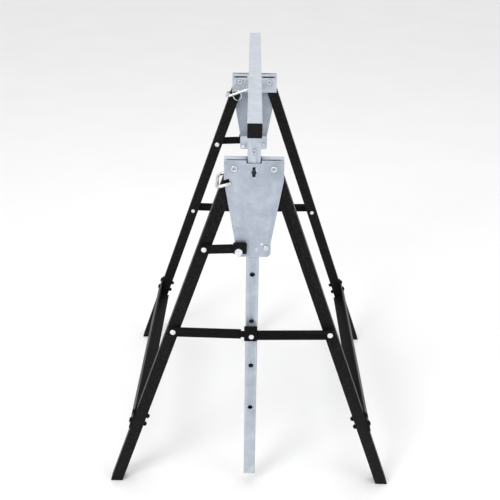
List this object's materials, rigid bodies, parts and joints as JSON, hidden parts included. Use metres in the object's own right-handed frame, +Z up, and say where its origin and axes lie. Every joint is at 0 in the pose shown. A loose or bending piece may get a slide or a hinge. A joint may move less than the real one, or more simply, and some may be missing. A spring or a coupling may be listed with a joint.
{
  "type": "folding trestle",
  "caption": "Folding steel trestle: black tube legs under galvanised head brackets, a telescopic mast with holes and cross beam, spreaders, lock links and clip pins.",
  "frame": {"origin": "centre of the footprint, on the floor", "axes": "+X to the right across the spread of the legs, +Y along the beam from front to rear, +Z up"},
  "size_m": [0.5784, 0.6792, 0.798],
  "materials": {
    "galvanised": "mottled zinc, satin",
    "black_paint": "powder coat, low gloss",
    "bright_zinc": "bright zinc",
    "black_plastic": "moulded, matt"
  },
  "bodies": {
    "head": {"bracket_plate_front": "galvanised", "bracket_plate_rear": "galvanised", "bracket_inner_front": "galvanised", "bracket_inner_rear": "galvanised", "guide_strap_front": "galvanised", "guide_strap_rear": "galvanised", "pivot_left_front": "bright_zinc", "pivot_left_rear": "bright_zinc", "pivot_right_front": "bright_zinc", "pivot_right_rear": "bright_zinc", "lock_stud_front": "bright_zinc", "lock_stud_rear": "bright_zinc", "guide_bolt_front": "bright_zinc", "guide_bolt_rear": "bright_zinc"},
    "left_legs": {"leg_left_front": "black_paint", "leg_left_rear": "black_paint", "brace_left": "black_paint", "brace_bolt_left_upper_front": "black_paint", "brace_bolt_left_upper_rear": "black_paint", "brace_bolt_left_lower_front": "black_paint", "brace_bolt_left_lower_rear": "black_paint", "spreader_rivet_left_front": "bright_zinc", "spreader_rivet_left_rear": "bright_zinc", "link_rivet_front": "bright_zinc", "link_rivet_rear": "bright_zinc"},
    "right_legs": {"leg_right_front": "black_paint", "leg_right_rear": "black_paint", "brace_right": "black_paint", "brace_bolt_right_upper_front": "black_paint", "brace_bolt_right_upper_rear": "black_paint", "brace_bolt_right_lower_front": "black_paint", "brace_bolt_right_lower_rear": "black_paint", "spreader_rivet_right_front": "bright_zinc", "spreader_rivet_right_rear": "bright_zinc"},
    "mast": {"beam": "galvanised", "beam_plug_front": "black_plastic", "beam_plug_rear": "black_plastic", "post_front": "galvanised", "post_rear": "galvanised", "post_stop_front": "bright_zinc", "post_stop_rear": "bright_zinc"},
    "spreader_left_front": {"spreader_bar_left_front": "black_paint"},
    "spreader_right_front": {"spreader_bar_right_front": "black_paint", "knee_block_front": "black_paint", "knee_rivet_front": "bright_zinc"},
    "link_front": {"lock_link_front": "black_paint", "lock_hook_front": "black_paint"},
    "clip_front": {"clip_pin_front": "bright_zinc"},
    "ring_front": {"split_ring_front": "bright_zinc"},
    "spreader_left_rear": {"spreader_bar_left_rear": "black_paint"},
    "spreader_right_rear": {"spreader_bar_right_rear": "black_paint", "knee_block_rear": "black_paint", "knee_rivet_rear": "bright_zinc"},
    "link_rear": {"lock_link_rear": "black_paint", "lock_hook_rear": "black_paint"},
    "clip_rear": {"clip_pin_rear": "bright_zinc"},
    "ring_rear": {"split_ring_rear": "bright_zinc"}
  },
  "joints": [
    {"name": "left_legs_fold", "type": "hinge", "parent": "head", "child": "left_legs", "pos_m": [-0.0341, 0, 0.7015], "axis": [0, -1, 0], "range_deg": [0, 16]},
    {"name": "right_legs_fold", "type": "hinge", "parent": "head", "child": "right_legs", "pos_m": [0.0341, 0, 0.7015], "axis": [0, 1, 0], "range_deg": [0, 16]},
    {"name": "mast_lift", "type": "slide", "parent": "head", "child": "mast", "axis": [0, 0, 1], "range_m": [0, 0.5]},
    {"name": "spreader_left_front_hinge", "type": "hinge", "parent": "left_legs", "child": "spreader_left_front", "pos_m": [-0.14797, -0.292, 0.3727], "axis": [0, -1, 0], "range_deg": [0, 54.2]},
    {"name": "spreader_right_front_hinge", "type": "hinge", "parent": "right_legs", "child": "spreader_right_front", "pos_m": [0.14797, -0.292, 0.3727], "axis": [0, 1, 0], "range_deg": [0, 54.2]},
    {"name": "link_front_hinge", "type": "hinge", "parent": "left_legs", "child": "link_front", "pos_m": [-0.08736, -0.292, 0.5477], "axis": [0, -1, 0], "range_deg": [0, 112]},
    {"name": "clip_front_slide", "type": "slide", "parent": "head", "child": "clip_front", "axis": [0, 1, 0], "range_m": [-0.0095, 0]},
    {"name": "ring_front_swing", "type": "hinge", "parent": "clip_front", "child": "ring_front", "pos_m": [-0.0398, -0.2431, 0.68027], "axis": [0.9379, 0, 0.347], "range_deg": [0, 30]},
    {"name": "spreader_left_rear_hinge", "type": "hinge", "parent": "left_legs", "child": "spreader_left_rear", "pos_m": [-0.14797, 0.292, 0.3727], "axis": [0, -1, 0], "range_deg": [0, 54.2]},
    {"name": "spreader_right_rear_hinge", "type": "hinge", "parent": "right_legs", "child": "spreader_right_rear", "pos_m": [0.14797, 0.292, 0.3727], "axis": [0, 1, 0], "range_deg": [0, 54.2]},
    {"name": "link_rear_hinge", "type": "hinge", "parent": "left_legs", "child": "link_rear", "pos_m": [-0.08736, 0.292, 0.5477], "axis": [0, -1, 0], "range_deg": [0, 112]},
    {"name": "clip_rear_slide", "type": "slide", "parent": "head", "child": "clip_rear", "axis": [0, -1, 0], "range_m": [-0.0095, 0]},
    {"name": "ring_rear_swing", "type": "hinge", "parent": "clip_rear", "child": "ring_rear", "pos_m": [-0.0398, 0.2431, 0.68027], "axis": [-0.9379, 0, -0.347], "range_deg": [0, 30]}
  ],
  "couplings": [
    {"joint": "right_legs_fold", "follows": "left_legs_fold", "ratio": 1},
    {"joint": "spreader_left_front_hinge", "follows": "left_legs_fold", "ratio": 3.387},
    {"joint": "spreader_right_front_hinge", "follows": "left_legs_fold", "ratio": 3.387},
    {"joint": "link_front_hinge", "follows": "left_legs_fold", "ratio": 7},
    {"joint": "spreader_left_rear_hinge", "follows": "left_legs_fold", "ratio": 3.387},
    {"joint": "spreader_right_rear_hinge", "follows": "left_legs_fold", "ratio": 3.387},
    {"joint": "link_rear_hinge", "follows": "left_legs_fold", "ratio": 7}
  ]
}
